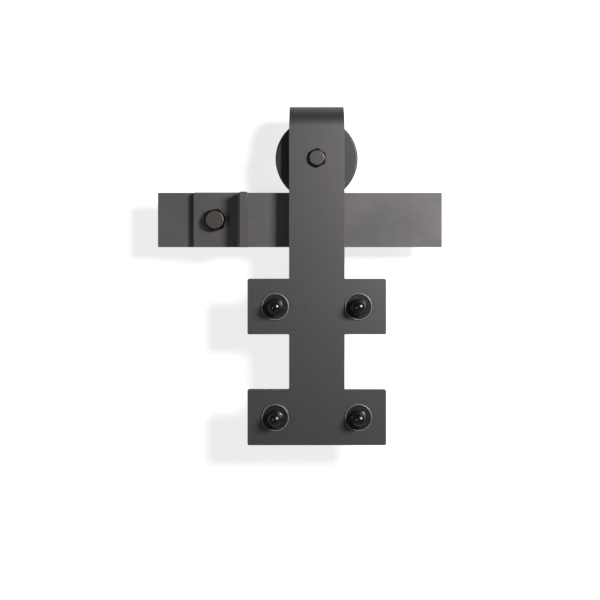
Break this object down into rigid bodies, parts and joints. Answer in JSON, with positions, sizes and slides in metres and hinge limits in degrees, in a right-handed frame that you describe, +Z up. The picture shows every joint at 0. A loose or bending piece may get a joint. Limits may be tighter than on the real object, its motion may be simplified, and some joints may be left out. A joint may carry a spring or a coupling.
{
  "type": "sliding door roller",
  "caption": "Flat-track sliding door roller: a bent steel hanger strap with a grooved wheel on a rail section with an end stop.",
  "frame": {"origin": "on the wall plane, midway between the two wall screws, at the rail's mid-height", "axes": "+X along the rail away from the end stop, +Y into the wall, +Z up"},
  "size_m": [0.265, 0.1257, 0.3122],
  "materials": {
    "strap_coat": "satin, finely textured dark bronze powder coat",
    "rail_coat": "satin, finely textured dark bronze powder coat",
    "stop_coat": "satin, finely textured dark bronze powder coat",
    "standoff_coat": "satin, finely textured dark bronze powder coat",
    "wheel_coat": "satin powder coat, worn bright in the groove",
    "axle_bolt_coat": "satin dark bronze with glossy edges",
    "screw_finish": "dark bronze head, black oxide threads",
    "dark_hardware": "black oxide",
    "gloss_black": "gloss black plating",
    "nylon_insert": "plain nylon",
    "spacer_steel": "turned steel",
    "bearing_steel": "ground steel",
    "ball_steel": "polished steel",
    "cage_steel": "pressed steel",
    "spring_steel": "blued spring steel",
    "seal_rubber": "matt black rubber"
  },
  "bodies": {
    "track": {"rail": "rail_coat", "stop_bracket": "stop_coat", "standoff_left": "standoff_coat", "standoff_right": "standoff_coat", "wall_screws": "screw_finish"},
    "hanger": {"hanger_strap": "strap_coat", "axle_bolt": "axle_bolt_coat", "axle_washer": "dark_hardware", "axle_nut": "dark_hardware", "axle_nut_insert": "nylon_insert", "spacer_front": "spacer_steel", "spacer_rear": "spacer_steel", "bearing_inner_race": "bearing_steel", "door_bolts": "dark_hardware", "door_washers_front": "gloss_black", "door_washers_rear": "dark_hardware", "cap_nuts": "gloss_black"},
    "wheel": {"wheel": "wheel_coat", "bearing_outer_race": "bearing_steel", "retaining_ring": "spring_steel", "bearing_seal_front": "seal_rubber", "bearing_seal_rear": "seal_rubber"},
    "ball_cage": {"bearing_balls": "ball_steel", "ball_cage_front": "cage_steel", "ball_cage_rear": "cage_steel"}
  },
  "joints": [
    {"name": "hanger_slide", "type": "slide", "parent": "track", "child": "hanger", "axis": [1, 0, 0], "range_m": [-0.0383, 0.095]},
    {"name": "wheel_spin", "type": "hinge", "parent": "hanger", "child": "wheel", "pos_m": [0.047, -0.03492, 0.0565], "axis": [0, 1, 0], "continuous": true},
    {"name": "cage_spin", "type": "hinge", "parent": "hanger", "child": "ball_cage", "pos_m": [0.047, -0.03492, 0.0565], "axis": [0, 1, 0], "continuous": true}
  ],
  "couplings": [
    {"joint": "wheel_spin", "follows": "hanger_slide", "rad_per_m": 32.154},
    {"joint": "cage_spin", "follows": "hanger_slide", "rad_per_m": 19.905}
  ]
}
